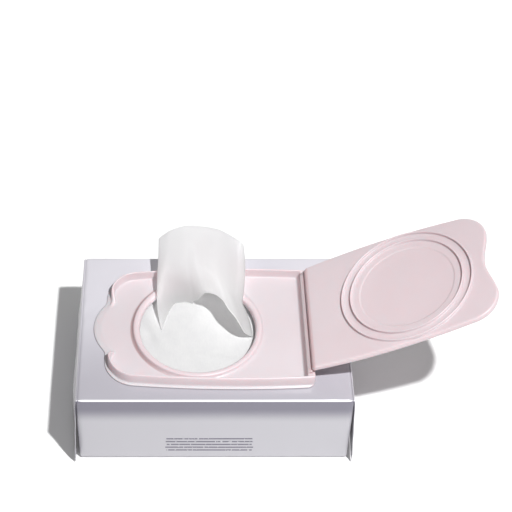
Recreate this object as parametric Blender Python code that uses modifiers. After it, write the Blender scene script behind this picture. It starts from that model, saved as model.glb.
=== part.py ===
# Resealable pack of wet wipes: a film pouch round a stack of wipes, with a moulded flip-top
# dispenser on its top face. Units are metres, +Z is up, and the origin is the centre of the
# pouch's flat bottom. The lid stands open to the right (+X); the front of the pack faces -Y.
import math

import bmesh
import bpy

MM = 0.001

# Film pouch
POUCH_LENGTH = 158 * MM
POUCH_DEPTH = 112 * MM
POUCH_HEIGHT = 55 * MM
FILM_WALL = 0.6 * MM
FILM_SETBACK = 0.6 * MM
POUCH_EDGE_RADIUS = 2.2 * MM
FIN_DEPTH = 118 * MM
FIN_TOP = 50 * MM
FIN_BOTTOM = 1.5 * MM
FIN_REACH = 5.6 * MM
FIN_WALL = 0.8 * MM
FIN_ROOT = 1.5 * MM

# Stack of wipes
STACK_LENGTH = 152 * MM
STACK_DEPTH = 106 * MM
STACK_BOTTOM = 1.0 * MM
STACK_TOP = 52.0 * MM
STACK_CORNER_RADIUS = 6 * MM

# Dispenser, all plan positions taken from the centre of its round mouth
MOUTH_X = -9.4 * MM
MOUTH_Y = -2.9 * MM
MOUTH_RADIUS = 35.0 * MM
COLLAR_RADIUS = 38.0 * MM
BASE_BOTTOM = POUCH_HEIGHT + 0.3 * MM
FLOOR_TOP = BASE_BOTTOM + 0.9 * MM
COLLAR_TOP = FLOOR_TOP + 2.3 * MM
RIM_TOP = FLOOR_TOP + 6.1 * MM
BASE_LEFT = -63.8 * MM
BASE_RIGHT = 57.5 * MM
BASE_HALF_DEPTH = 44.2 * MM
BASE_CORNER_LEFT = 15 * MM
BASE_CORNER_RIGHT = 4 * MM
BASE_BOW = 2.2 * MM
RIM_WALL = 2.0 * MM
RIM_ROOT = 0.2 * MM
RIM_INSET = 0.5 * MM
TAB_REACH = 6.6 * MM
TAB_HALF_WIDTH = 24 * MM
TAB_FILLET = 0.6
TAB_CROWN = 0.8 * MM
RIM_GAP_HALF_WIDTH = 22 * MM
HINGE_WALL_FOOT = 51.2 * MM
HINGE_WALL_HEAD = 52.8 * MM
HINGE_SEAT_DROP = 0.5 * MM
HINGE_SEAT_END = 0.6 * MM
WALL = 1.2 * MM

# Lid, in its own frame: along the lid from the hinge, across it, and up from its outer face
HINGE_X = 54.0 * MM
HINGE_Z = RIM_TOP
OPEN_ANGLE = math.radians(26)
LID_LENGTH = 114.5 * MM
LID_START = 1.7 * MM
LID_SLOPE = 1.4 * MM
LID_EDGE = 0.6 * MM
LID_HALF_WIDTH = 41.2 * MM
LID_BOW = 1.8 * MM
LID_CORNER = 15 * MM
LID_HINGE_CORNER = 1.5 * MM
LID_THICKNESS = 3.5 * MM
LID_PANEL_DEPTH = 1.1 * MM
LID_PANEL_BORDER = 3.5 * MM
NOTCH_DEPTH = 4.0 * MM
NOTCH_HALF_WIDTH = 23 * MM
LIP_HEIGHT = 1.9 * MM
LIP_WALL = 0.8 * MM
LIP_ROOT = 0.3 * MM
OUTER_LIP_RADIUS = 39.2 * MM
INNER_LIP_RADIUS = 34.5 * MM
STEP_RADIUS = 28 * MM
STEP_DEPTH = 0.4 * MM

# Pulled wipe, a sheet drawn up through the mouth and laid back over the rear rim as a low arch
WIPE_LEFT = -33.5 * MM
WIPE_RIGHT = 20.5 * MM
WIPE_CROWN = 13.5 * MM
WIPE_WALL = 1.8 * MM
WIPE_FRONT = -6 * MM
WIPE_BOTTOM = STACK_TOP + 0.6 * MM
WIPE_LENGTH = 66 * MM
WIPE_TILT = math.radians(16)
WIPE_SHOULDER = 2.6

# Length by which a cutter passes through what it cuts
CLEAR = 2 * MM

ROUND_SEGMENTS = 96
ARC_STEPS = 8
WELD = 0.00001


def clear_scene():
    for obj in list(bpy.data.objects):
        bpy.data.objects.remove(obj, do_unlink=True)


def collection(name):
    made = bpy.data.collections.new(name)
    bpy.context.scene.collection.children.link(made)
    return made


def material(name, colour, roughness, metallic=0.0):
    made = bpy.data.materials.new(name)
    made.use_nodes = True
    shader = made.node_tree.nodes["Principled BSDF"]
    shader.inputs["Base Color"].default_value = (*colour, 1.0)
    shader.inputs["Roughness"].default_value = roughness
    shader.inputs["Metallic"].default_value = metallic
    made.diffuse_color = (*colour, 1.0)
    return made


def place(obj, target):
    for owner in list(obj.users_collection):
        owner.objects.unlink(obj)
    target.objects.link(obj)


def cutter(obj):
    obj.hide_render = True
    obj.display_type = "WIRE"
    place(obj, CUTTERS)
    return obj


def boolean(obj, tool, operation):
    modifier = obj.modifiers.new(tool.name, "BOOLEAN")
    modifier.object = tool
    modifier.operation = operation
    modifier.solver = "EXACT"
    return modifier


def box(name, low, high):
    bpy.ops.mesh.primitive_cube_add(size=1)
    obj = bpy.context.active_object
    obj.name = name
    for vertex in obj.data.vertices:
        for axis in range(3):
            vertex.co[axis] = low[axis] if vertex.co[axis] < 0 else high[axis]
    return obj


def rounded_box(name, low, high, radius, segments):
    obj = box(name, low, high)
    bevel = obj.modifiers.new("edges", "BEVEL")
    bevel.width = radius
    bevel.segments = segments
    bevel.limit_method = "ANGLE"
    return obj


def cylinder(name, radius, low, high, centre=(MOUTH_X, MOUTH_Y)):
    bpy.ops.mesh.primitive_cylinder_add(
        vertices=ROUND_SEGMENTS,
        radius=radius,
        depth=high - low,
        location=(centre[0], centre[1], (low + high) / 2),
    )
    obj = bpy.context.active_object
    obj.name = name
    return obj


def outline_solid(name, loops, low, high):
    """A flat outline, with any holes as further loops, raised from low to high."""
    curve = bpy.data.curves.new(name, "CURVE")
    curve.dimensions = "2D"
    curve.fill_mode = "BOTH"
    curve.extrude = (high - low) / 2
    for loop in loops:
        spline = curve.splines.new("POLY")
        spline.points.add(len(loop) - 1)
        for point, (x, y) in zip(spline.points, loop):
            point.co = (x, y, 0, 1)
        spline.use_cyclic_u = True
    flat = bpy.data.objects.new(name + "_outline", curve)
    bpy.context.scene.collection.objects.link(flat)
    flat.location.z = (low + high) / 2
    bpy.context.view_layer.update()
    shape = flat.evaluated_get(bpy.context.evaluated_depsgraph_get())
    mesh = bpy.data.meshes.new_from_object(shape)
    mesh.transform(flat.matrix_world)
    bpy.data.objects.remove(flat, do_unlink=True)
    edit = bmesh.new()
    edit.from_mesh(mesh)
    bmesh.ops.remove_doubles(edit, verts=edit.verts, dist=WELD)
    bmesh.ops.dissolve_degenerate(edit, edges=edit.edges, dist=WELD)
    bmesh.ops.recalc_face_normals(edit, faces=edit.faces)
    edit.to_mesh(mesh)
    edit.free()
    obj = bpy.data.objects.new(name, mesh)
    bpy.context.scene.collection.objects.link(obj)
    return obj


def arc(centre, radius, start, end):
    """Points of an arc, angles in degrees, both ends included."""
    points = []
    for step in range(ARC_STEPS + 1):
        angle = math.radians(start + (end - start) * step / ARC_STEPS)
        points.append((centre[0] + radius * math.cos(angle), centre[1] + radius * math.sin(angle)))
    return points


def smooth(share):
    share = min(max(share, 0.0), 1.0)
    return share * share * (3 - 2 * share)


def bowed_side(start, end, y, bow, steps=10):
    """A long side that bows outwards by bow at its middle, without its two end points."""
    outwards = 1 if y > 0 else -1
    points = []
    for step in range(1, steps):
        share = step / steps
        lift = bow * (1 - (2 * share - 1) ** 2)
        points.append((start + (end - start) * share, y + outwards * lift))
    return points


def base_outline(inset, with_tab):
    """The frame's plan, counter-clockwise, drawn inwards by inset; about the mouth's Y."""
    left = BASE_LEFT + inset
    right = BASE_RIGHT - inset
    half = BASE_HALF_DEPTH - BASE_BOW - inset
    near = BASE_CORNER_LEFT - inset
    far = BASE_CORNER_RIGHT - inset
    points = arc((left + near, -half + near), near, 180, 270)
    points += bowed_side(left + near, right - far, -half, BASE_BOW)
    points += arc((right - far, -half + far), far, 270, 360)
    points += arc((right - far, half - far), far, 0, 90)
    points += bowed_side(right - far, left + near, half, BASE_BOW)
    points += arc((left + near, half - near), near, 90, 180)
    if with_tab:
        steps = 24
        for step in range(1, steps):
            across = TAB_HALF_WIDTH * (1 - 2 * step / steps)
            bulge = smooth((TAB_HALF_WIDTH - abs(across)) / (TAB_FILLET * TAB_HALF_WIDTH))
            crown = TAB_CROWN * (1 - (across / TAB_HALF_WIDTH) ** 2)
            points.append((left - (TAB_REACH - TAB_CROWN) * bulge - crown, across))
    return [(x, y + MOUTH_Y) for x, y in points]


def make_pouch():
    half_x = POUCH_LENGTH / 2
    half_y = POUCH_DEPTH / 2
    pouch = rounded_box(
        "film_pouch", (-half_x, -half_y, 0), (half_x, half_y, POUCH_HEIGHT), POUCH_EDGE_RADIUS, 3
    )
    for side, name in ((-1, "left"), (1, "right")):
        fin = outline_solid(
            "fin_" + name,
            [[
                (half_x - FIN_ROOT, FIN_TOP - FIN_WALL),
                (half_x + FIN_REACH - FIN_WALL, FIN_BOTTOM),
                (half_x + FIN_REACH, FIN_BOTTOM),
                (half_x + FIN_WALL, FIN_TOP),
                (half_x - FIN_ROOT, FIN_TOP),
            ]],
            -FIN_DEPTH / 2,
            FIN_DEPTH / 2,
        )
        fin.rotation_euler.x = math.radians(90)
        if side < 0:
            fin.rotation_euler.z = math.radians(180)
        boolean(pouch, cutter(fin), "UNION")
    inner = rounded_box(
        "pouch_inside",
        (-half_x + FILM_WALL, -half_y + FILM_WALL, FILM_WALL),
        (half_x - FILM_WALL, half_y - FILM_WALL, POUCH_HEIGHT - FILM_WALL),
        POUCH_EDGE_RADIUS - FILM_WALL,
        3,
    )
    boolean(pouch, cutter(inner), "DIFFERENCE")
    hole = cylinder(
        "pouch_hole", MOUTH_RADIUS + FILM_SETBACK, POUCH_HEIGHT - CLEAR, POUCH_HEIGHT + CLEAR
    )
    boolean(pouch, cutter(hole), "DIFFERENCE")
    return pouch


def make_stack():
    return rounded_box(
        "wipes_stack",
        (-STACK_LENGTH / 2, -STACK_DEPTH / 2, STACK_BOTTOM),
        (STACK_LENGTH / 2, STACK_DEPTH / 2, STACK_TOP),
        STACK_CORNER_RADIUS,
        3,
    )


def make_base():
    base = outline_solid(
        "dispenser_base", [base_outline(0, True)], BASE_BOTTOM, FLOOR_TOP
    )
    rim = outline_solid(
        "rim_ring",
        [base_outline(0, False), base_outline(RIM_WALL, False)],
        BASE_BOTTOM + RIM_ROOT,
        RIM_TOP,
    )
    gap = box(
        "rim_gap",
        (BASE_LEFT - CLEAR, MOUTH_Y - RIM_GAP_HALF_WIDTH, FLOOR_TOP),
        (BASE_LEFT + RIM_WALL + CLEAR, MOUTH_Y + RIM_GAP_HALF_WIDTH, RIM_TOP + CLEAR),
    )
    boolean(rim, cutter(gap), "DIFFERENCE")
    boolean(base, cutter(rim), "UNION")
    half = BASE_HALF_DEPTH - BASE_BOW - 0.5 * RIM_WALL
    hinge_wall = outline_solid(
        "hinge_wall",
        [[
            (HINGE_WALL_FOOT, BASE_BOTTOM + RIM_ROOT),
            (BASE_RIGHT - RIM_INSET, BASE_BOTTOM + RIM_ROOT),
            (BASE_RIGHT - RIM_INSET, RIM_TOP - HINGE_SEAT_DROP),
            (HINGE_WALL_HEAD, RIM_TOP - HINGE_SEAT_DROP),
            (HINGE_WALL_FOOT, FLOOR_TOP),
        ]],
        -half,
        half,
    )
    hinge_wall.rotation_euler.x = math.radians(90)
    hinge_wall.location.y = MOUTH_Y
    boolean(base, cutter(hinge_wall), "UNION")
    land = box(
        "lid_seat",
        (HINGE_WALL_HEAD, MOUTH_Y - half + HINGE_SEAT_END, RIM_TOP - HINGE_SEAT_DROP),
        (BASE_RIGHT + CLEAR, MOUTH_Y + half - HINGE_SEAT_END, RIM_TOP + CLEAR),
    )
    boolean(base, cutter(land), "DIFFERENCE")
    channel = outline_solid(
        "hinge_channel",
        [[
            (HINGE_WALL_FOOT + WALL, BASE_BOTTOM - CLEAR),
            (BASE_RIGHT - WALL, BASE_BOTTOM - CLEAR),
            (BASE_RIGHT - WALL, RIM_TOP - HINGE_SEAT_DROP - WALL),
            (HINGE_WALL_HEAD + WALL, RIM_TOP - HINGE_SEAT_DROP - WALL),
            (HINGE_WALL_FOOT + WALL, FLOOR_TOP),
        ]],
        -half + WALL,
        half - WALL,
    )
    channel.rotation_euler.x = math.radians(90)
    channel.location.y = MOUTH_Y
    boolean(base, cutter(channel), "DIFFERENCE")
    collar = cylinder("collar_ring", COLLAR_RADIUS, BASE_BOTTOM + RIM_ROOT, COLLAR_TOP)
    boolean(base, cutter(collar), "UNION")
    mouth = cylinder("mouth_hole", MOUTH_RADIUS, BASE_BOTTOM - CLEAR, COLLAR_TOP + CLEAR)
    boolean(base, cutter(mouth), "DIFFERENCE")
    return base


def lid_outline(inset):
    """The lid's plan along and across the lid, counter-clockwise, drawn inwards by inset."""
    start = LID_START + inset
    end = LID_LENGTH - inset
    half = LID_HALF_WIDTH - LID_BOW - inset
    near = LID_HINGE_CORNER
    far = LID_CORNER - inset
    points = arc((start + near, -half + near), near, 180, 270)
    points += bowed_side(start + near, end - far, -half, LID_BOW)
    points += arc((end - far, -half + far), far, 270, 360)
    steps = 20
    for step in range(1, steps):
        across = (half - far) * (2 * step / steps - 1)
        dip = NOTCH_DEPTH * smooth(1 - abs(across) / NOTCH_HALF_WIDTH)
        points.append((end - dip, across))
    points += arc((end - far, half - far), far, 0, 90)
    points += bowed_side(end - far, start + near, half, LID_BOW)
    points += arc((start + near, half - near), near, 90, 180)
    return points


def make_lid():
    lid = outline_solid("flip_lid", [lid_outline(0)], 0, LID_THICKNESS)
    centre = HINGE_X - MOUTH_X
    panel = outline_solid(
        "lid_panel", [lid_outline(LID_PANEL_BORDER)], -CLEAR, LID_PANEL_DEPTH
    )
    boolean(lid, cutter(panel), "DIFFERENCE")
    slope = outline_solid(
        "lid_slope",
        [[
            (LID_START - CLEAR, LID_EDGE),
            (LID_START, LID_EDGE),
            (LID_START + LID_SLOPE, LID_THICKNESS),
            (LID_START + LID_SLOPE, LID_THICKNESS + CLEAR),
            (LID_START - CLEAR, LID_THICKNESS + CLEAR),
        ]],
        -LID_HALF_WIDTH - CLEAR,
        LID_HALF_WIDTH + CLEAR,
    )
    slope.rotation_euler.x = math.radians(90)
    boolean(lid, cutter(slope), "DIFFERENCE")
    step = cylinder(
        "lid_step", STEP_RADIUS, LID_THICKNESS - STEP_DEPTH, LID_THICKNESS + CLEAR, (centre, 0)
    )
    boolean(lid, cutter(step), "DIFFERENCE")
    tools = [panel, slope, step]
    top = LID_THICKNESS + LIP_HEIGHT
    for name, radius in (("outer", OUTER_LIP_RADIUS), ("inner", INNER_LIP_RADIUS)):
        rings = [
            [(centre + x, y) for x, y in circle(radius)],
            [(centre + x, y) for x, y in circle(radius - LIP_WALL)],
        ]
        lip = outline_solid("lip_" + name, rings, LID_THICKNESS - LIP_ROOT, top)
        boolean(lid, cutter(lip), "UNION")
        tools.append(lip)
    hinge = bpy.data.objects.new("hinge_line", None)
    PARTS.objects.link(hinge)
    hinge.location = (HINGE_X, MOUTH_Y, HINGE_Z)
    hinge.rotation_euler.y = -OPEN_ANGLE
    for obj in [lid, *tools]:
        obj.parent = hinge
    return lid


def circle(radius):
    points = []
    for step in range(ROUND_SEGMENTS):
        angle = 2 * math.pi * step / ROUND_SEGMENTS
        points.append((radius * math.cos(angle), radius * math.sin(angle)))
    return points


def arch_points(half, crown):
    """An arch with full shoulders, from its left foot over its crown to its right foot."""
    points = []
    steps = 28
    for step in range(steps + 1):
        angle = math.pi * (1 - step / steps)
        across = math.copysign(abs(math.cos(angle)) ** (2 / WIPE_SHOULDER), math.cos(angle))
        up = abs(math.sin(angle)) ** (2 / WIPE_SHOULDER)
        points.append((half * across, crown * up))
    return points


def make_pulled_wipe():
    half = (WIPE_RIGHT - WIPE_LEFT) / 2
    outer = arch_points(half, WIPE_CROWN)
    inner = arch_points(half - WIPE_WALL, WIPE_CROWN - WIPE_WALL)
    wipe = outline_solid("pulled_wipe", [outer + inner[::-1]], -WIPE_LENGTH, 0)
    wipe.rotation_euler.x = math.radians(90) + WIPE_TILT
    wipe.location = (WIPE_LEFT + half, WIPE_FRONT, WIPE_BOTTOM)
    return wipe


clear_scene()
PARTS = collection("wet_wipes_pack")
CUTTERS = collection("cutters")

FILM = material("film", (0.70, 0.67, 0.74), 0.34)
BLUSH = material("blush_plastic", (0.84, 0.68, 0.71), 0.32)
WIPES = material("wipes", (0.86, 0.86, 0.86), 0.85)
PULLED = material("pulled_wipe", (0.82, 0.82, 0.82), 0.85)

for part, finish in (
    (make_pouch(), FILM),
    (make_stack(), WIPES),
    (make_pulled_wipe(), PULLED),
    (make_base(), BLUSH),
    (make_lid(), BLUSH),
):
    place(part, PARTS)
    part.data.materials.clear()
    part.data.materials.append(finish)
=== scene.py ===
import math

import bmesh
import bpy
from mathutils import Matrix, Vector, noise


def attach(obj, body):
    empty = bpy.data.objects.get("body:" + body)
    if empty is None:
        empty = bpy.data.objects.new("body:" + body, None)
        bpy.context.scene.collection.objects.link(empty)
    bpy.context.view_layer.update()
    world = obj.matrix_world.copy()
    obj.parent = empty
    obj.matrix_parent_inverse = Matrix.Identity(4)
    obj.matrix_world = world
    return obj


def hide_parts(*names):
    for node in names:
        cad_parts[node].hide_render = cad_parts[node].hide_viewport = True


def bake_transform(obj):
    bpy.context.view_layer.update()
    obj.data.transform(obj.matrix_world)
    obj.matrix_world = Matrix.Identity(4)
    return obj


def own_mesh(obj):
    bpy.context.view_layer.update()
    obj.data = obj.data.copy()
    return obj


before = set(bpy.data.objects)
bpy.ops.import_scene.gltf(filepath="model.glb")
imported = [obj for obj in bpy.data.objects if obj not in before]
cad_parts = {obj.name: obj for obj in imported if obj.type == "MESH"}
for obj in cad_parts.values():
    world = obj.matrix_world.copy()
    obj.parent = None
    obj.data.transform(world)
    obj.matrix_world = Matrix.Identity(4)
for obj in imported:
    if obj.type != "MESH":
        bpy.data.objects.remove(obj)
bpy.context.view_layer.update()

# Shapes are in millimetres, and toMetres turns their finished points into metres.
# Front of the pack is -Y, the lid is hinged at +X.

lengthUnit = 0.001


def toMetres(points):
    return [tuple(lengthUnit * value for value in point) for point in points]


def smooth(share):
    share = min(max(share, 0.0), 1.0)
    return share * share * (3 - 2 * share)


def mix(first, second, share):
    return tuple(a + (b - a) * share for a, b in zip(first, second))


def hump(value, centre, width):
    return math.exp(-(((value - centre) / width) ** 2))


def ripple(x, y, z, scale, seed=0.0):
    return noise.noise(Vector((x / scale + seed, y / scale - seed, z / scale + 2.3 * seed)))


def arc(centreX, centreY, radius, start, end, steps):
    points = []
    for step in range(steps + 1):
        angle = math.radians(start + (end - start) * step / steps)
        points.append((centreX + radius * math.cos(angle), centreY + radius * math.sin(angle)))
    return points


def between(start, end, steps):
    return [start + (end - start) * step / steps for step in range(1, steps)]


def circleLike(loop, centre, radius):
    # a circle whose points stand at the same bearings as the points of the loop
    points = []
    for x, y in loop:
        bearing = math.atan2(y - centre[1], x - centre[0])
        points.append((centre[0] + radius * math.cos(bearing), centre[1] + radius * math.sin(bearing)))
    return points


def selectNothing():
    if bpy.context.mode != "OBJECT":
        bpy.ops.object.mode_set(mode="OBJECT")
    bpy.ops.object.select_all(action="DESELECT")


def loftRings(name, rings, capStart=False, capEnd=False, closeRound=False):
    # a circle is drawn, then extruded once for each further ring and shaped to it
    selectNothing()
    count = len(rings[0])
    bpy.ops.mesh.primitive_circle_add(vertices=count, radius=0.01, fill_type="NOTHING")
    piece = bpy.context.active_object
    piece.name = name
    piece.data.name = name
    for vertex, place in zip(piece.data.vertices, toMetres(rings[0])):
        vertex.co = place
    bpy.ops.object.mode_set(mode="EDIT")
    bpy.ops.mesh.select_all(action="SELECT")
    if capStart:
        bpy.ops.mesh.edge_face_add()
        bpy.ops.mesh.select_all(action="SELECT")
    order = {index: index for index in range(count)}
    for ring in rings[1:]:
        places = toMetres(ring)
        bpy.ops.mesh.extrude_edges_move()
        edit = bmesh.from_edit_mesh(piece.data)
        edit.verts.index_update()
        following = {}
        for vertex in edit.verts:
            if not vertex.select:
                continue
            for edge in vertex.link_edges:
                other = edge.other_vert(vertex)
                if not other.select and other.index in order:
                    following[vertex.index] = order[other.index]
        for vertex in edit.verts:
            if vertex.index in following:
                vertex.co = places[following[vertex.index]]
        order = following
        bmesh.update_edit_mesh(piece.data)
    if capEnd:
        bpy.ops.mesh.edge_face_add()
    if closeRound:
        bpy.ops.mesh.select_all(action="SELECT")
        bpy.ops.mesh.remove_doubles(threshold=0.000002)
    bpy.ops.mesh.select_all(action="SELECT")
    bpy.ops.mesh.normals_make_consistent(inside=False)
    bpy.ops.object.mode_set(mode="OBJECT")
    bpy.ops.object.shade_smooth()
    return piece


def gridPiece(name, rows):
    # a drawn grid whose points are put on the rows
    selectNothing()
    across = len(rows[0])
    bpy.ops.mesh.primitive_grid_add(x_subdivisions=across - 1, y_subdivisions=len(rows) - 1, size=0.1)
    piece = bpy.context.active_object
    piece.name = name
    piece.data.name = name
    places = toMetres([point for row in rows for point in row])
    for vertex, place in zip(piece.data.vertices, places):
        vertex.co = place
    return piece


def giveWall(piece, thickness):
    bpy.ops.object.shade_smooth()
    wall = piece.modifiers.new("wall", "SOLIDIFY")
    wall.thickness = thickness * lengthUnit
    wall.offset = 0
    bpy.ops.object.modifier_apply(modifier=wall.name)
    return piece


def joinAndWeld(first, second):
    selectNothing()
    second.select_set(True)
    first.select_set(True)
    bpy.context.view_layer.objects.active = first
    bpy.ops.object.join()
    bpy.ops.object.mode_set(mode="EDIT")
    bpy.ops.mesh.select_all(action="SELECT")
    bpy.ops.mesh.remove_doubles(threshold=0.000002)
    bpy.ops.mesh.normals_make_consistent(inside=False)
    bpy.ops.object.mode_set(mode="OBJECT")
    return first


def finish(piece, material, body="root"):
    piece.data.materials.clear()
    piece.data.materials.append(material)
    if body:
        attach(piece, body)
    return piece


# materials


class Wire:
    def __init__(self, tree, socket):
        self.tree = tree
        self.socket = socket

    def make(self, kind, settings=None, inputs=None, output=0):
        node = self.tree.nodes.new(kind)
        for name, value in (settings or {}).items():
            setattr(node, name, value)
        for name, value in (inputs or {}).items():
            if isinstance(value, Wire):
                self.tree.links.new(value.socket, node.inputs[name])
            else:
                node.inputs[name].default_value = value
        return Wire(self.tree, node.outputs[output])

    def maths(self, operation, *values):
        return self.make("ShaderNodeMath", {"operation": operation}, dict(enumerate(values)))

    def __add__(self, other):
        return self.maths("ADD", self, other)

    def __radd__(self, other):
        return self.maths("ADD", other, self)

    def __sub__(self, other):
        return self.maths("SUBTRACT", self, other)

    def __rsub__(self, other):
        return self.maths("SUBTRACT", other, self)

    def __mul__(self, other):
        return self.maths("MULTIPLY", self, other)

    def __rmul__(self, other):
        return self.maths("MULTIPLY", other, self)

    def step(self, low, high):
        return self.make(
            "ShaderNodeMapRange",
            {"interpolation_type": "SMOOTHSTEP"},
            {"Value": self, "From Min": low, "From Max": high},
        )

    def noise(self, scale, detail=3.0, roughness=0.55):
        return self.make(
            "ShaderNodeTexNoise", None,
            {"Vector": self, "Scale": scale, "Detail": detail, "Roughness": roughness},
        )

    def stretch(self, x, y, z):
        return self.make("ShaderNodeMapping", None, {"Vector": self, "Scale": (x, y, z)})

    def blend(self, first, second):
        return self.make(
            "ShaderNodeMix", {"data_type": "RGBA"}, {0: self, 6: first, 7: second}, 2
        )

    def bump(self, strength, distance, under=None):
        inputs = {"Height": self, "Strength": strength, "Distance": distance}
        if under:
            inputs["Normal"] = under
        return self.make("ShaderNodeBump", None, inputs)


def newMaterial(name, **constants):
    material = bpy.data.materials.new(name)
    material.use_nodes = True
    tree = material.node_tree
    shader = tree.nodes["Principled BSDF"]
    for socket, value in constants.items():
        shader.inputs[socket.replace("_", " ")].default_value = value
    coordinates = tree.nodes.new("ShaderNodeTexCoord")
    place = Wire(tree, coordinates.outputs["Object"])

    def connect(socket, wire):
        tree.links.new(wire.socket, shader.inputs[socket])

    return material, place, connect


def split(place):
    return [place.make("ShaderNodeSeparateXYZ", None, {0: place}, axis) for axis in range(3)]


filmLook = {
    "pale": (0.600, 0.585, 0.630, 1),
    "cool": (0.560, 0.545, 0.595, 1),
    "paintedShadeFrontTop": (0.385, 0.372, 0.412, 1),
    "face": (0.462, 0.453, 0.488, 1),
    "paintedHighlight": (0.930, 0.920, 0.950, 1),
    "paintedDarkReflection": (0.165, 0.156, 0.203, 1),
    "ink": (0.115, 0.105, 0.150, 1),
    # metres: where each mark starts and is full: the front face, the painted shade at the front of the
    # top, the painted highlight along the fold and the painted dark reflection at the top of the face
    "front": (0.0545, 0.0556), "back": (-0.052, 0.030), "top": (0.0525, 0.0540),
    "highlightAhead": (0.0549, 0.0553), "highlightUp": (0.0538, 0.0542), "darkReflectionUp": (0.0350, 0.0480),
    # rows of plain bars on the front: middle height and half length
    "rows": (
        (0.0197, 0.0250), (0.0169, 0.0254), (0.0141, 0.0248), (0.0113, 0.0257), (0.0085, 0.0250),
    ),
    "rowMiddle": -0.0027, "rowHalfHeight": 0.00062, "rowEnd": 0.0002,
    "gapScale": 760.0, "gapTall": 0.36, "gaps": (0.34, 0.40),
}


def makeFilm():
    look = filmLook
    material, place, connect = newMaterial("filmLilac", IOR=1.5, Coat_Roughness=0.13, Coat_Weight=0.5)
    x, y, z = split(place)
    cloud = place.noise(14.0)
    colour = cloud.step(0.35, 0.7).blend(look["pale"], look["cool"])
    # painted shade: the top of the film is darker towards the front
    frontTopShade = 1.0 - y.step(*look["back"])
    colour = (frontTopShade * z.step(*look["top"])).blend(colour, look["paintedShadeFrontTop"])
    front = (0.0 - y).step(*look["front"])
    # painted shade: the front face takes a darker copy of the film's colour
    colour = front.blend(colour, look["face"])
    # painted reflection: a dark band along the top of the front face
    colour = (front * z.step(*look["darkReflectionUp"])).blend(colour, look["paintedDarkReflection"])
    # painted highlight: a pale line along the fold at the front top edge
    paintedHighlight = (0.0 - y).step(*look["highlightAhead"]) * z.step(*look["highlightUp"])
    colour = paintedHighlight.blend(colour, look["paintedHighlight"])
    bars = None
    for height, half in look["rows"]:
        line = 1.0 - (z - height).maths("ABSOLUTE", z - height).step(
            look["rowHalfHeight"] * 0.8, look["rowHalfHeight"] * 1.2
        )
        offset = x - look["rowMiddle"]
        inside = 1.0 - offset.maths("ABSOLUTE", offset).step(half, half + look["rowEnd"])
        bars = line * inside if bars is None else bars + line * inside
    letters = place.stretch(1.0, 0.0, look["gapTall"]).noise(look["gapScale"], 1.0)
    gaps = letters.step(*look["gaps"])
    colour = (bars * gaps * front).blend(colour, look["ink"])
    connect("Base Color", colour)
    connect("Roughness", cloud * 0.12 + 0.26)
    fine = place.noise(900.0, 2.0).bump(0.05, 0.0002)
    connect("Normal", place.stretch(1.0, 0.35, 0.6).noise(45.0, 2.0).bump(0.12, 0.0012, fine))
    return material


blushLook = {
    "colour": (0.630, 0.547, 0.570, 1),
    "deep": (0.615, 0.527, 0.550, 1),
    "outer": (0.550, 0.470, 0.492, 1),
    "hinge": (0.570, 0.430, 0.445, 1),
    "paintedCollarShadow": (0.430, 0.300, 0.310, 1),
    "mouthX": -0.0094, "mouthY": -0.0029,
    # metres: the painted shade towards the lid's far end, the hinge strip's painted shade, and the painted
    # shadow at the collar's foot
    "lidEndShadeAlong": (0.050, 0.150),
    "hingeFrom": (0.0512, 0.0520), "hingeTo": (0.0564, 0.0572), "hingeUp": (0.0570, 0.0580),
    "hingeBeside": (0.0385, 0.0400),
    "ringFrom": (0.0378, 0.0386), "ringTo": (0.0393, 0.0402), "ringSide": (-0.044, -0.014),
}


def makeBlush():
    look = blushLook
    material, place, connect = newMaterial(
        "blushPlastic", IOR=1.49, Subsurface_Weight=0.4, Subsurface_Scale=0.004,
        Subsurface_Radius=(1.0, 0.42, 0.42),
    )
    cloud = place.noise(22.0, 2.0)
    x, y, z = split(place)
    colour = cloud.step(0.3, 0.7).blend(look["colour"], look["deep"])
    # painted shade: the plastic darkens towards the lid's far end
    colour = x.step(*look["lidEndShadeAlong"]).blend(colour, look["outer"])
    fromX, fromY = x - look["mouthX"], y - look["mouthY"]
    beside = fromY.maths("ABSOLUTE", fromY)
    # painted shade on the frame's hinge wall, which faces away from the key light
    hingeShadeMask = x.step(*look["hingeFrom"]) * (1.0 - x.step(*look["hingeTo"])) * z.step(*look["hingeUp"])
    hingeShadeMask = hingeShadeMask * (1.0 - beside.step(*look["hingeBeside"]))
    colour = hingeShadeMask.blend(colour, look["hinge"])
    # painted shadow: the collar's outer wall and the floor at its foot are darker on the tab's side, away
    # from the key light
    square = fromX * fromX + fromY * fromY
    radius = square.maths("SQRT", square)
    ring = radius.step(*look["ringFrom"]) * (1.0 - radius.step(*look["ringTo"]))
    ring = ring * (1.0 - x.step(*look["ringSide"]))
    connect("Base Color", ring.blend(colour, look["paintedCollarShadow"]))
    connect("Roughness", place.noise(60.0) * 0.10 + 0.30)
    fine = place.noise(1500.0, 2.0).bump(0.04, 0.0001)
    connect("Normal", place.noise(30.0, 1.0).bump(0.05, 0.001, fine))
    return material


wipeLook = {
    "white": (0.600, 0.600, 0.600, 1),
    "grey": (0.565, 0.565, 0.57, 1),
    "pulledWhite": (0.95, 0.95, 0.95, 1),
    "pulledGrey": (0.90, 0.90, 0.905, 1),
    "through": 0.85, "sheet": (0.98, 0.98, 0.98, 1),
}


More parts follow.
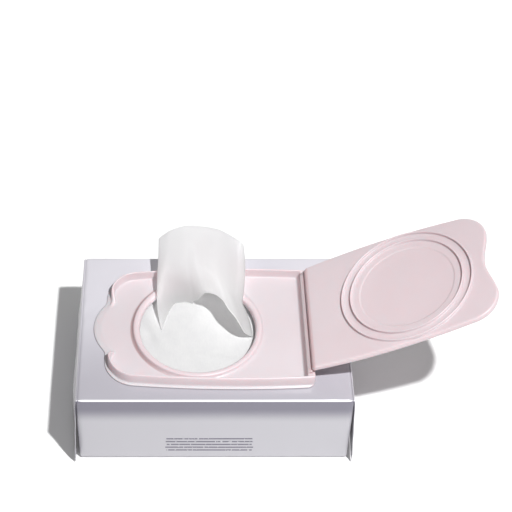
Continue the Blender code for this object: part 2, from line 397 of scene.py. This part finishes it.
def makeWipe(name, light, dark, through=0.0):
    material, place, connect = newMaterial(
        name, IOR=1.4, Sheen_Weight=0.15, Sheen_Roughness=0.5, Subsurface_Weight=0.15,
        Subsurface_Scale=0.001, Subsurface_Radius=(1.0, 1.0, 1.0),
    )
    fibres = place.stretch(1.0, 0.25, 1.0).noise(1400.0, 4.0, 0.7)
    patches = place.noise(120.0, 3.0)
    connect("Base Color", (fibres * 0.5 + patches * 0.5).step(0.35, 0.65).blend(light, dark))
    connect("Roughness", patches * 0.15 + 0.72)
    coarse = patches.bump(0.20, 0.0006)
    connect("Normal", fibres.bump(0.35, 0.0002, coarse))
    if through:
        # a single sheet lets light through, and the stack does not
        shader = place.tree.nodes["Principled BSDF"]
        sheet = place.make("ShaderNodeBsdfTranslucent", None, {"Color": wipeLook["sheet"]})
        both = place.make(
            "ShaderNodeMixShader", None, {0: through, 1: Wire(place.tree, shader.outputs[0]), 2: sheet}
        )
        place.tree.links.new(both.socket, place.tree.nodes["Material Output"].inputs["Surface"])
    return material


print("materials")
film = makeFilm()
blush = makeBlush()
wipe = makeWipe("wipeFibre", wipeLook["white"], wipeLook["grey"])
pulledFibre = makeWipe("pulledFibre", wipeLook["pulledWhite"], wipeLook["pulledGrey"], wipeLook["through"])

# film pouch

mouth = {"centre": (-9.4, -2.9)}

pouch = {
    "halfX": 79.0, "halfY": 56.0, "height": 55.0, "corner": 1.6,
    "cornerSteps": 8, "longSteps": 90, "shortSteps": 64,
    "edgeLong": 1.35, "edgeEnd": 2.6, "footEdge": 2.4,
    "holeRadius": 35.6, "wall": 0.3,
    "topDrop": 0.12, "mouthDip": 0.25, "topSwell": 0.35,
    # the moulded frame lies on the film here: middle, half length and half depth, and how it fades
    "frameX": -4.0, "frameHalfX": 60.0, "frameHalfY": 44.0, "frameFadeY": 1.6, "frameFade": 8.0,
    "topShares": (
        0, 0.02, 0.06, 0.12, 0.2, 0.28, 0.36, 0.44, 0.52, 0.6, 0.68, 0.76, 0.83, 0.89, 0.94, 0.97, 1,
    ),
    "edgeRings": 6, "sideRings": 18, "footRings": 5, "sideSwell": 0.35, "endDraw": 1.1,
}


def pouchLoop(inset, endInset=None):
    endInset = inset if endInset is None else endInset
    halfX = pouch["halfX"] - endInset
    halfY = pouch["halfY"] - inset
    r = pouch["corner"]
    n = pouch["cornerSteps"]
    points = arc(-halfX + r, -halfY + r, r, 180, 270, n)
    points += [(x, -halfY) for x in between(-halfX + r, halfX - r, pouch["longSteps"])]
    points += arc(halfX - r, -halfY + r, r, 270, 360, n)
    points += [(halfX, y) for y in between(-halfY + r, halfY - r, pouch["shortSteps"])]
    points += arc(halfX - r, halfY - r, r, 0, 90, n)
    points += [(x, halfY) for x in between(halfX - r, -halfX + r, pouch["longSteps"])]
    points += arc(-halfX + r, halfY - r, r, 90, 180, n)
    points += [(-halfX, y) for y in between(halfY - r, -halfY + r, pouch["shortSteps"])]
    return points


def filmRelief(x, y, z):
    # slack in the film: long shallow waves, more of them towards the two ends
    nearEnd = smooth((abs(x) - 55) / 24)
    height = 0.22 * ripple(x, y * 0.5, z, 34, 1.7)
    height += nearEnd * (0.42 * ripple(x * 2.2, y * 0.6, z, 26, 5.1) + 0.20 * ripple(x, y, z * 2, 9, 8.4))
    return height


def makePouch():
    rings = []
    outer = pouchLoop(pouch["edgeLong"], pouch["edgeEnd"])
    hole = circleLike(outer, mouth["centre"], pouch["holeRadius"])
    top = pouch["height"]
    topDrop, topSwell = pouch["topDrop"], pouch["topSwell"]
    for share in pouch["topShares"]:
        ring = []
        for inside, outside in zip(hole, outer):
            x, y = mix(inside, outside, share)
            # flat under the moulded frame, free to wave outside it
            pastX = abs(x - pouch["frameX"]) - pouch["frameHalfX"]
            pastY = (abs(y - mouth["centre"][1]) - pouch["frameHalfY"]) * pouch["frameFadeY"]
            free = smooth(max(pastX, pastY) / pouch["frameFade"])
            dip = -pouch["mouthDip"] if share < 0.3 else 0.0
            ring.append((x, y, top + dip + free * min(filmRelief(x, y, top), topSwell) - topDrop))
        rings.append(ring)
    for step in range(1, pouch["edgeRings"] + 1):
        turn = math.radians(90 * step / pouch["edgeRings"])
        loop = pouchLoop(
            pouch["edgeLong"] * (1 - math.sin(turn)), pouch["edgeEnd"] * (1 - math.sin(turn))
        )
        ring = []
        for x, y in loop:
            atEnd = smooth((abs(x) - pouch["halfX"] + 4) / 3)
            edge = pouch["edgeLong"] + (pouch["edgeEnd"] - pouch["edgeLong"]) * atEnd
            drop = edge * (1 - math.cos(turn))
            ring.append((x, y, top - topDrop - drop))
        rings.append(ring)
    side = pouchLoop(0)
    for step in range(1, pouch["sideRings"] + 1):
        share = step / pouch["sideRings"]
        z = (top - pouch["edgeEnd"] - 0.2) * (1 - share) + pouch["footEdge"] * share
        swell = math.sin(math.pi * share)
        ring = []
        for x, y in side:
            if abs(abs(y) - pouch["halfY"]) < 0.01:
                out = pouch["sideSwell"] * swell + 0.8 * filmRelief(x, y, z) * swell
                ring.append((x, y + math.copysign(out, y), z))
            elif abs(abs(x) - pouch["halfX"]) < 0.01:
                # the ends are drawn in a little behind the hanging flaps
                draw = -pouch["endDraw"] * swell * (1 - (y / pouch["halfY"]) ** 2)
                draw += 0.4 * filmRelief(x, y, z) * swell
                ring.append((x + math.copysign(draw, x), y, z))
            else:
                ring.append((x, y, z))
        rings.append(ring)
    for step in range(1, pouch["footRings"] + 1):
        turn = math.radians(90 * step / pouch["footRings"])
        loop = pouchLoop(pouch["footEdge"] * (1 - math.cos(turn)))
        rings.append([(x, y, pouch["footEdge"] * (1 - math.sin(turn))) for x, y in loop])
    floorLoop = pouchLoop(pouch["footEdge"])
    for share in (0.75, 0.5, 0.25, 0.08):
        rings.append([(x * share, y * share, 0.0) for x, y in floorLoop])
    piece = loftRings("filmPouch", rings, capEnd=True)
    wall = piece.modifiers.new("wall", "SOLIDIFY")
    wall.thickness = pouch["wall"] * lengthUnit
    wall.offset = -1
    bpy.ops.object.modifier_apply(modifier=wall.name)
    return piece


flap = {
    "halfTop": 55.6, "halfFoot": 59.0, "columns": 156, "rows": 26, "top": 54.6, "foot": 1.4,
    "middleOut": 5.2, "endOut": 2.6, "sealHeight": 11.0, "toothDepth": 0.9, "wall": 0.35,
}


def makeFlap(name, side):
    # the end of the film: it hangs from the top edge, and its foot is the crimped seal
    rows = []
    for row in range(flap["rows"] + 1):
        down = row / flap["rows"]
        half = flap["halfTop"] + (flap["halfFoot"] - flap["halfTop"]) * smooth(down * 1.15)
        points = []
        for column in range(flap["columns"] + 1):
            across = 2 * column / flap["columns"] - 1
            y = half * across
            middle = 1 - smooth((abs(across) - 0.45) / 0.55)
            swell = math.sin(math.pi * min(down * 1.25, 1) / 2)
            out = flap["middleOut"] * middle * (swell - 0.18 * down)
            out += flap["endOut"] * (1 - middle) * down ** 0.8
            z = flap["top"] + (flap["foot"] - flap["top"]) * down
            sealed = smooth((flap["foot"] + flap["sealHeight"] - z) / 1.5)
            out += 0.35 * ripple(y, z, 3 * side, 13, 2.2) * smooth(down * 3)
            out += 0.8 * ripple(y, z * 0.4, side, 30, 6.2) * smooth(down * 2)
            out += sealed * 0.11 * math.sin(z * 5.2)
            if row == 0:
                z -= 0.2
            tooth = flap["toothDepth"] * (column % 2) if row == flap["rows"] else 0.0
            lift = 0.5 * ripple(y, 0, side, 25, 9.1) * down
            x = pouch["halfX"] - 0.6 + out + 0.5 * min(row, 1)
            points.append((side * x, y, z + tooth + lift))
        rows.append(points if side > 0 else points[::-1])
    return giveWall(gridPiece(name, rows), flap["wall"])


print("film pouch")
pouchPiece = finish(makePouch(), film)
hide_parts("film_pouch")
finish(makeFlap("endFlapRight", 1), film)
finish(makeFlap("endFlapLeft", -1), film)

# stack of wipes

stack = {
    "halfX": 76, "halfY": 53, "top": 51.65, "foot": 1.0, "corner": 7,
    "cornerSteps": 10, "longSteps": 60, "shortSteps": 44, "mouthRadius": 38,
    "radii": (
        0.6, 2, 4, 6, 8, 10, 12, 14, 16, 18, 20, 22, 24, 25.5, 27, 28.5, 30, 31.5, 33, 34.5, 36, 38,
    ),
    "layers": 12, "layerHeight": 3.9, "layerPull": 0.995,
}


def stackTop(x, y):
    # soft folds in the top wipe, and crumples at the left of the mouth
    height = stack["top"]
    height += 0.30 * ripple(x, y, 0, 40, 3.3) + 0.10 * ripple(x, y, 0, 9, 4.1)
    lean = (x + 34) * 0.55 + (y + 8) * 0.25
    crumple = hump(x, -37, 7) * hump(y, -4, 11)
    height += crumple * (0.6 * math.sin(lean) + 0.3 * ripple(x, y, 0, 6, 7.7))
    height += 0.35 * hump(y + 0.12 * x, -22, 1.6) * hump(x, 0, 26)
    return height


def makeStack():
    halfX, halfY, corner = stack["halfX"], stack["halfY"], stack["corner"]
    x, y, turns = halfX - corner, halfY - corner, stack["cornerSteps"]
    loop = arc(-x, -y, corner, 180, 270, turns)
    loop += [(along, -halfY) for along in between(-x, x, stack["longSteps"])]
    loop += arc(x, -y, corner, 270, 360, turns)
    loop += [(halfX, along) for along in between(-y, y, stack["shortSteps"])]
    loop += arc(x, y, corner, 0, 90, turns)
    loop += [(along, halfY) for along in between(x, -x, stack["longSteps"])]
    loop += arc(-x, y, corner, 90, 180, turns)
    loop += [(-halfX, along) for along in between(y, -y, stack["shortSteps"])]
    rings = []
    for radius in stack["radii"]:
        ring = circleLike(loop, mouth["centre"], radius)
        rings.append([(x, y, stackTop(x, y)) for x, y in ring])
    rim = circleLike(loop, mouth["centre"], stack["mouthRadius"])
    for share in (0.3, 0.65, 0.96):
        ring = [mix(a, b, share) for a, b in zip(rim, loop)]
        rings.append([(x, y, stack["top"]) for x, y in ring])
    for step in range(1, 4):
        rings.append([(x, y, stack["top"] - step) for x, y in loop])
    # the folded edges of the wipes show as shallow layers down the sides
    for layer in range(stack["layers"]):
        z = stack["top"] - 4.65 - layer * stack["layerHeight"]
        pull = stack["layerPull"] if layer % 2 else 1.0
        rings.append([(x * pull, y * pull, z) for x, y in loop])
    rings.append([(x * 0.97, y * 0.96, stack["foot"]) for x, y in loop])
    rings.append([(x * 0.3, y * 0.3, stack["foot"]) for x, y in loop])
    return loftRings("wipesStack", rings, capStart=True, capEnd=True)


print("stack")
stackPiece = finish(makeStack(), wipe)
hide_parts("wipes_stack")

# dispenser base

base = {
    "left": -62.7, "right": 57.5, "halfLeft": 41.8, "halfRight": 43.2, "bow": 1.8,
    "nearCorner": 18.0, "farCorner": 4.0, "flange": 0.85,
    "nearSteps": 18, "farSteps": 10, "longSteps": 64, "rightSteps": 30, "leftSteps": 54,
    "under": 55.3, "floor": 56.2, "rim": 62.3,
    "tabReach": 8.0, "tabRadius": 28.0, "tabFillet": 0.7, "tabMiddle": 1.5,
    # where the rim starts and ends beside the tab, towards the front and the back
    "rimFront": (17.5, 23.5), "rimBack": (16.0, 30.0),
    "collarFoot": 40.4, "collarWall": 38.0,
}


def baseLoop(inset, right=None, far=None):
    # the frame's outline about the mouth's Y: round corners at the tab's end, sides slightly bowed
    left = base["left"] + inset
    right = base["right"] - inset if right is None else right
    nearHalf = base["halfLeft"] - inset
    farHalf = base["halfRight"] - inset
    near = base["nearCorner"] - inset
    far = max(base["farCorner"] - inset, 0.9) if far is None else far
    spans = between(left + near, right - far, base["longSteps"])
    halves = []
    for step in range(1, base["longSteps"]):
        share = step / base["longSteps"]
        halves.append(nearHalf + (farHalf - nearHalf) * share + base["bow"] * 4 * share * (1 - share))
    points = arc(left + near, -nearHalf + near, near, 180, 270, base["nearSteps"])
    points += [(x, -half) for x, half in zip(spans, halves)]
    points += arc(right - far, -farHalf + far, far, 270, 360, base["farSteps"])
    points += [(right, y) for y in between(-farHalf + far, farHalf - far, base["rightSteps"])]
    points += arc(right - far, farHalf - far, far, 0, 90, base["farSteps"])
    points += [(x, half) for x, half in zip(spans[::-1], halves[::-1])]
    points += arc(left + near, nearHalf - near, near, 90, 180, base["nearSteps"])
    points += [(left, y) for y in between(nearHalf - near, -nearHalf + near, base["leftSteps"])]
    return [(x, y + mouth["centre"][1]) for x, y in points]


def tabEdge(across):
    # a round lobe that runs into the frame's left side through a small fillet
    offset = min(abs(across - base["tabMiddle"]), base["tabRadius"] * 0.98)
    lobe = -base["tabReach"] + base["tabRadius"] - math.sqrt(base["tabRadius"] ** 2 - offset**2)
    fillet = base["tabFillet"]
    joined = math.exp(-lobe / fillet) + math.exp(base["flange"] / fillet)
    return base["left"] - fillet * math.log(joined)


def makeBase():
    # each station of the rim's section: inset, height, right-hand X,
    # then the tab's inset and height, and the height at the hinge end
    under, floor, rim = base["under"], base["floor"], base["rim"]
    seat = rim - 0.45
    stations = (
        (-base["flange"], under, 57.50, 0.0, under, under),
        (-base["flange"] - 0.03, under + 0.30, 57.55, 0.0, under + 0.25, under + 0.30),
        (-0.60, under + 0.50, 57.50, 0.3, under + 0.42, under + 0.50),
        (0.45, under + 0.60, 57.40, 1.6, under + 0.56, under + 0.70),
        (0.78, under + 0.80, 57.30, 2.4, under + 0.64, under + 2.9),
        (0.92, under + 1.70, 57.25, 3.0, under + 0.72, under + 5.2),
        (1.25, rim - 1.00, 57.10, 3.6, under + 0.79, seat - 0.85),
        (1.36, rim - 0.45, 56.90, 4.0, under + 0.84, seat - 0.30),
        (1.58, rim - 0.10, 56.50, 4.4, under + 0.88, seat - 0.05),
        (1.82, rim, 55.60, 4.8, floor, seat),
        (2.06, rim - 0.02, 53.60, 5.0, floor, seat),
        (2.28, rim - 0.16, 53.10, 5.2, floor, seat - 0.06),
        (2.40, rim - 0.50, 52.85, 5.4, floor, seat - 0.30),
        (2.46, rim - 1.20, 52.60, 5.7, floor, seat - 0.90),
        (2.60, floor + 1.20, 51.50, 6.1, floor, floor + 1.2),
        (2.74, floor + 0.50, 51.30, 6.5, floor, floor + 0.5),
        (3.05, floor + 0.12, 50.90, 6.9, floor, floor + 0.12),
        (3.60, floor, 50.30, 7.5, floor, floor),
    )
    rings = []
    for inset, height, right, tabInset, tabHeight, rightHeight in stations:
        loop = baseLoop(inset, right, max(base["farCorner"] - inset * 1.6, 0.9))
        ring = []
        for x, y in loop:
            across = y - mouth["centre"][1]
            rimFrom, rimTo = base["rimFront"] if across < 0 else base["rimBack"]
            full = smooth((abs(across) - rimFrom) / (rimTo - rimFrom))
            full = full if x < -40 else 1.0
            onRight = smooth((x - 47) / 5) * smooth((41.2 - abs(across)) / 1.5)
            z = height + (rightHeight - height) * onRight
            tab = (tabEdge(across) + tabInset, y, tabHeight)
            ring.append(mix(tab, (x, y, z), full))
        rings.append(ring)
    inner = [(x, y) for x, y, z in rings[-1]]
    for share in (0.12, 0.3, 0.5, 0.7, 0.88, 0.96):
        circle = circleLike(inner, mouth["centre"], base["collarFoot"])
        rings.append([(*mix(a, b, share), floor) for a, b in zip(inner, circle)])
    collar = (
        (40.2, floor), (39.4, floor + 0.10), (38.8, floor + 0.34), (38.35, floor + 0.74),
        (38.1, 57.5), (37.95, 57.95), (37.75, 58.25), (37.4, 58.44), (36.9, 58.5), (36.3, 58.5),
        (35.7, 58.38), (35.1, 58.08), (34.65, 57.65), (34.4, 57.1), (34.25, 56.3),
        (34.0, under + 0.1), (34.1, under), (38.0, under),
    )
    for radius, z in collar:
        rings.append([(x, y, z) for x, y in circleLike(inner, mouth["centre"], radius)])
    outline = [(x, y) for x, y, z in rings[0]]
    circle = circleLike(inner, mouth["centre"], base["collarWall"])
    for share in (0.5, 0.95):
        rings.append([(*mix(a, b, share), under) for a, b in zip(circle, outline)])
    rings.append(list(rings[0]))
    return loftRings("dispenserBase", rings, closeRound=True)


print("dispenser base")
basePiece = finish(makeBase(), blush)
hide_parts("dispenser_base")

# lid

lid = {
    "hingeX": 54.0, "hingeZ": 62.3, "angle": 26.0,
    "start": 1.7, "end": 113.5, "half": 38.7, "bow": 2.4, "nearCorner": 1.5, "farCorner": 17.0,
    "nearSteps": 6, "longSteps": 64, "farSteps": 16, "endSteps": 56, "startSteps": 34,
    "notchDepth": 4.2, "notchHalf": 23.0, "face": 3.5,
    "centre": (63.4, 0.0), "lipTop": 5.3, "lips": (39.2, 33.8), "lipFoot": 39.55,
}


def lidLoop(inset, slope=0.0):
    start = lid["start"] + min(inset, 1.2) + slope if inset < 2 else lid["start"] + inset + slope
    end = lid["end"] - inset
    half = lid["half"] - inset
    near = lid["nearCorner"]
    far = lid["farCorner"] - inset
    points = arc(start + near, -half + near, near, 180, 270, lid["nearSteps"])
    spans = between(start + near, end - far, lid["longSteps"])
    for step, u in enumerate(spans, 1):
        share = 2 * step / lid["longSteps"] - 1
        points.append((u, -half - lid["bow"] * (1 - share * share)))
    points += arc(end - far, -half + far, far, 270, 360, lid["farSteps"])
    for v in between(-half + far, half - far, lid["endSteps"]):
        dip = lid["notchDepth"] * smooth(1 - abs(v) / lid["notchHalf"])
        points.append((end - dip, v))
    points += arc(end - far, half - far, far, 0, 90, lid["farSteps"])
    for step, u in enumerate(spans[::-1], 1):
        share = 2 * step / lid["longSteps"] - 1
        points.append((u, half + lid["bow"] * (1 - share * share)))
    points += arc(start + near, half - near, near, 90, 180, lid["nearSteps"])
    points += [(start, v) for v in between(half - near, -half + near, lid["startSteps"])]
    return points


def openLid(points):
    # from along, across and up on the lid to the pack's own directions, lid open
    cosine = math.cos(math.radians(lid["angle"]))
    sine = math.sin(math.radians(lid["angle"]))
    placed = []
    for u, v, w in points:
        x = lid["hingeX"] + u * cosine - w * sine
        z = lid["hingeZ"] + u * sine + w * cosine
        placed.append((x, v + mouth["centre"][1], z))
    return placed


def makeLid():
    face = lid["face"]
    centre = lid["centre"]
    rings = []
    panel = lidLoop(5.4)
    for radius in (6, 18, 30):
        rings.append([(u, v, 1.1) for u, v in circleLike(panel, centre, radius)])
    sections = (
        (5.4, 1.1, 0), (4.7, 1.05, 0), (4.35, 0.8, 0), (4.1, 0.4, 0), (3.8, 0.12, 0), (3.3, 0, 0),
        (1.4, 0, 0), (0.7, 0.08, 0), (0.25, 0.35, 0), (0.04, 0.8, 0.05), (0.0, 1.5, 0.3),
        (0.0, 2.5, 0.9), (0.12, 3.05, 1.25), (0.4, 3.36, 1.38), (0.85, 3.48, 1.4), (1.5, face, 1.4),
    )
    for inset, up, slope in sections:
        rings.append([(u, v, up) for u, v in lidLoop(inset, slope)])
    edge = [(u, v) for u, v, w in rings[-1]]
    for share in (0.3, 0.6, 0.85, 0.96):
        ring = [mix(a, b, share) for a, b in zip(edge, circleLike(edge, centre, lid["lipFoot"]))]
        rings.append([(u, v, face) for u, v in ring])
    top = lid["lipTop"]
    lips = []
    for outer in lid["lips"]:
        lips += [
            (outer + 0.35, face), (outer + 0.12, face + 0.1), (outer + 0.02, face + 0.4),
            (outer, top - 0.4), (outer - 0.1, top - 0.12), (outer - 0.4, top), (outer - 0.7, top - 0.12),
            (outer - 0.8, top - 0.4), (outer - 0.83, face + 0.4), (outer - 0.93, face + 0.1),
            (outer - 1.15, face),
        ]
    lips += [
        (31.5, face), (28.9, face), (28.5, face - 0.06), (28.2, face - 0.25), (27.9, face - 0.36),
        (27.5, face - 0.4), (20, face - 0.4), (11, face - 0.4), (4, face - 0.4),
    ]
    for radius, up in lips:
        rings.append([(u, v, up) for u, v in circleLike(edge, centre, radius)])
    return loftRings("flipLid", [openLid(ring) for ring in rings], capStart=True, capEnd=True)


# the thin web moulded between the frame and the lid
web = {
    "profile": (
        (52.75, 61.70), (53.1, 61.92), (53.45, 62.12), (53.8, 62.28),
        (54.2, 62.46), (54.7, 62.72), (55.35, 63.02),
    ),
    "half": 38.6, "steps": 40, "wall": 0.4,
}


def makeHingeWeb():
    rows = []
    for x, z in web["profile"]:
        row = []
        for step in range(web["steps"] + 1):
            row.append((x, mouth["centre"][1] - web["half"] + 2 * web["half"] * step / web["steps"], z))
        rows.append(row)
    piece = giveWall(gridPiece("hingeWeb", rows), web["wall"])
    finish(piece, blush, body=None)
    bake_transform(piece)
    return piece


print("lid")
lidPiece = finish(makeLid(), blush, "lid")
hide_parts("flip_lid")
makeHingeWeb()

# pulled wipe

pulled = {
    "columns": 72, "rows": 64, "wall": 0.5, "footColumns": 21, "tuckHalf": 73.0,
    "foot": 52.2, "archRise": 17.0, "crown": 3.0,
    # lower edge from the left foot, round the free lip, to the right foot
    "lower": (
        (0.00, -30.8, -0.6, 52.1), (0.07, -28.2, 9.4, 52.2), (0.14, -24.0, 19.8, 52.4),
        (0.22, -17.2, 22.1, 52.8), (0.29, -12.0, 20.9, 53.4), (0.34, -9.6, 19.6, 56.5),
        (0.39, -7.2, 16.6, 63.0), (0.44, -5.4, 13.2, 69.0), (0.49, -2.6, 10.8, 72.0),
        (0.55, 1.0, 9.0, 72.6), (0.62, 4.9, 4.5, 73.0), (0.70, 8.4, -2.6, 73.0),
        (0.78, 12.4, -7.4, 71.0), (0.85, 15.2, -9.8, 67.0), (0.92, 18.0, -9.4, 60.0),
        (1.00, 23.0, -6.3, 52.4),
    ),
    "far": (
        (0.00, -32.6, 54.6, 73.4), (0.06, -29.8, 55.0, 76.0), (0.13, -26.0, 55.2, 79.4),
        (0.25, -19.8, 55.4, 82.3), (0.37, -13.8, 55.4, 83.6), (0.49, -7.7, 55.4, 83.1),
        (0.61, -1.6, 55.4, 81.8), (0.72, 4.5, 55.3, 79.8), (0.83, 10.4, 54.6, 76.4),
        (0.90, 14.2, 53.0, 74.6), (0.95, 16.6, 51.0, 74.8), (1.00, 18.8, 50.2, 71.6),
    ),
    "left": (
        (0.00, -30.8, -0.6, 52.1), (0.15, -32.4, 6.8, 54.4), (0.28, -33.4, 13.4, 58.0),
        (0.42, -33.5, 21.6, 61.6), (0.60, -33.3, 31.5, 65.3), (0.80, -32.8, 42.6, 69.2),
        (1.00, -32.6, 54.6, 73.4),
    ),
    "right": (
        (0.00, 23.0, -6.3, 52.4), (0.13, 21.9, 1.6, 54.4), (0.26, 19.4, 9.3, 57.6),
        (0.38, 17.4, 13.6, 60.6), (0.50, 18.0, 19.0, 62.6), (0.65, 19.2, 29.5, 64.6),
        (0.82, 19.6, 41.0, 66.8), (1.00, 18.8, 50.2, 71.6),
    ),
}


def along(track, share):
    for first, second in zip(track, track[1:]):
        if share <= second[0]:
            break
    # a smooth curve through the stations, from the slopes on both sides
    index = track.index(first)
    before = track[max(index - 1, 0)]
    after = track[min(index + 2, len(track) - 1)]
    span = second[0] - first[0]
    local = (share - first[0]) / span
    place = []
    for axis in (1, 2, 3):
        slopeIn = (second[axis] - before[axis]) / max(second[0] - before[0], 1e-6) * span
        slopeOut = (after[axis] - first[axis]) / max(after[0] - first[0], 1e-6) * span
        a, b = first[axis], second[axis]
        cube = 2 * a - 2 * b + slopeIn + slopeOut
        square = 3 * b - 3 * a - 2 * slopeIn - slopeOut
        place.append(((cube * local + square) * local + slopeIn) * local + a)
    return place


def wipePoint(s, t):
    low, far = along(pulled["lower"], s), along(pulled["far"], s)
    left, right = along(pulled["left"], t), along(pulled["right"], t)
    corners = [track[end][1:] for track in (pulled["lower"], pulled["far"]) for end in (0, -1)]
    # the folds of the free lip die out quickly, into a plain arch
    keep = (1 - t) ** 2
    arch = pulled["foot"] + pulled["archRise"] * math.sin(math.pi * s) ** 0.7
    low[2] = low[2] * keep + arch * (1 - keep)
    point = []
    for axis in range(3):
        sides = (1 - s) * left[axis] + s * right[axis]
        ends = (1 - t) * low[axis] + t * far[axis]
        flat = (1 - t) * ((1 - s) * corners[0][axis] + s * corners[1][axis])
        flat += t * ((1 - s) * corners[2][axis] + s * corners[3][axis])
        point.append(sides + ends - flat)
    # crown of the arch, then pleats that run from the lip to the far edge and fade on the way
    body = math.sin(math.pi * s) * math.sin(math.pi * t)
    point[2] += pulled["crown"] * body
    fade = (1 - t) ** 1.2
    pleats = 0.9 * hump(s, 0.27, 0.035) - 0.8 * hump(s, 0.345, 0.03) + 0.7 * hump(s, 0.42, 0.04)
    pleats += 0.3 * hump(s, 0.62, 0.05) - 0.35 * hump(s, 0.74, 0.04)
    gentle = 0.22 * math.sin(s * 21 + 0.6) * (0.4 + 0.6 * t) + 0.25 * ripple(s * 60, t * 14, 0, 9, 2.9)
    hold = smooth(t * 8) * smooth((1 - t) * 10 + 0.35) * smooth(s * 9) * smooth((1 - s) * 9)
    point[2] += (pleats * fade + gentle) * hold
    point[1] -= 0.5 * pleats * fade * hold
    return tuple(point)


def makePulledWipe():
    columns, rows = pulled["columns"], pulled["rows"]
    points = []
    for row in range(rows + 1):
        t = row / rows
        points.append([wipePoint(column / columns, t) for column in range(columns + 1)])
    drawn = gridPiece("pulledWipe", points)
    # the rest of the sheet is still folded inside the stack, joined at the left foot
    foot = points[0][: pulled["footColumns"] + 1]
    last = len(foot) - 1
    half = pulled["tuckHalf"]
    spread = [-half + 2 * half * step / last for step in range(last + 1)]
    tuck = [foot, [(x, y, 51.0) for x, y, z in foot]]
    tuck.append([(x + 0.6 * (wide - x), 38.0, 50.7) for (x, y, z), wide in zip(foot, spread)])
    for y in range(50, -51, -5):
        tuck.append([(wide, float(y), 50.5) for wide in spread])
    tuck.append([(wide, -50.6, 50.1) for wide in spread])
    for y in range(-50, 0, 5):
        tuck.append([(wide, float(y), 49.7) for wide in spread])
    joinAndWeld(drawn, gridPiece("tuckedWipe", tuck))
    return giveWall(drawn, pulled["wall"])


print("pulled wipe")
wipePiece = finish(makePulledWipe(), pulledFibre)
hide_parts("pulled_wipe")
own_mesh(wipePiece)

# floor, lights, camera


studio = {
    "floorSize": 8, "floorLight": (0.93, 0.93, 0.93, 1), "floorDark": (0.94, 0.94, 0.94, 1),
    "sky": 0.30,
    "keyPower": 45, "keyRadius": 0.018, "keyPlace": (0.253, -0.36, 0.906),
    "beamPower": 110, "beamAngle": 74, "beamBlend": 0.6, "beamRadius": 0.2, "beamPlace": (0.05, 1.12, 1.3),
    "lens": 98.55, "sensor": 36, "shift": 0.1518, "clipEnd": 20,
    "cameraPlace": (-0.02083, -0.54548, 0.68220), "cameraTilt": 43.871,
}


def hang(name, data, place):
    thing = bpy.data.objects.new(name, data)
    thing.location = place
    bpy.context.scene.collection.objects.link(thing)
    return thing


def makeStage():
    selectNothing()
    bpy.ops.mesh.primitive_plane_add(size=studio["floorSize"], location=(0, 0, 0))
    floor = bpy.context.active_object
    floor.name = "studioFloor"
    material, place, connect = newMaterial("floorWhite", Roughness=0.9)
    tone = place.noise(3.0).step(0.2, 0.8)
    connect("Base Color", tone.blend(studio["floorLight"], studio["floorDark"]))
    floor.data.materials.append(material)

    world = bpy.data.worlds.new("studio")
    bpy.context.scene.world = world
    world.use_nodes = True
    background = world.node_tree.nodes["Background"]
    background.inputs["Color"].default_value = (1.0, 1.0, 1.0, 1)
    background.inputs["Strength"].default_value = studio["sky"]

    lamp = bpy.data.lights.new("key", "POINT")
    lamp.energy = studio["keyPower"]
    lamp.shadow_soft_size = studio["keyRadius"]
    hang("key", lamp, studio["keyPlace"])

    # points straight down behind the pack, and brightens only the floor there
    beam = bpy.data.lights.new("floorBeam", "SPOT")
    beam.energy = studio["beamPower"]
    beam.spot_size = math.radians(studio["beamAngle"])
    beam.spot_blend = studio["beamBlend"]
    beam.shadow_soft_size = studio["beamRadius"]
    hang("floorBeam", beam, studio["beamPlace"])

    lens = bpy.data.cameras.new("camera")
    lens.lens = studio["lens"]
    lens.sensor_width = studio["sensor"]
    lens.shift_x = studio["shift"]
    lens.clip_end = studio["clipEnd"]
    camera = hang("camera", lens, studio["cameraPlace"])
    camera.rotation_euler = (math.radians(studio["cameraTilt"]), 0, 0)
    bpy.context.scene.camera = camera
    bpy.context.scene.view_settings.view_transform = "Standard"


print("stage")
makeStage()
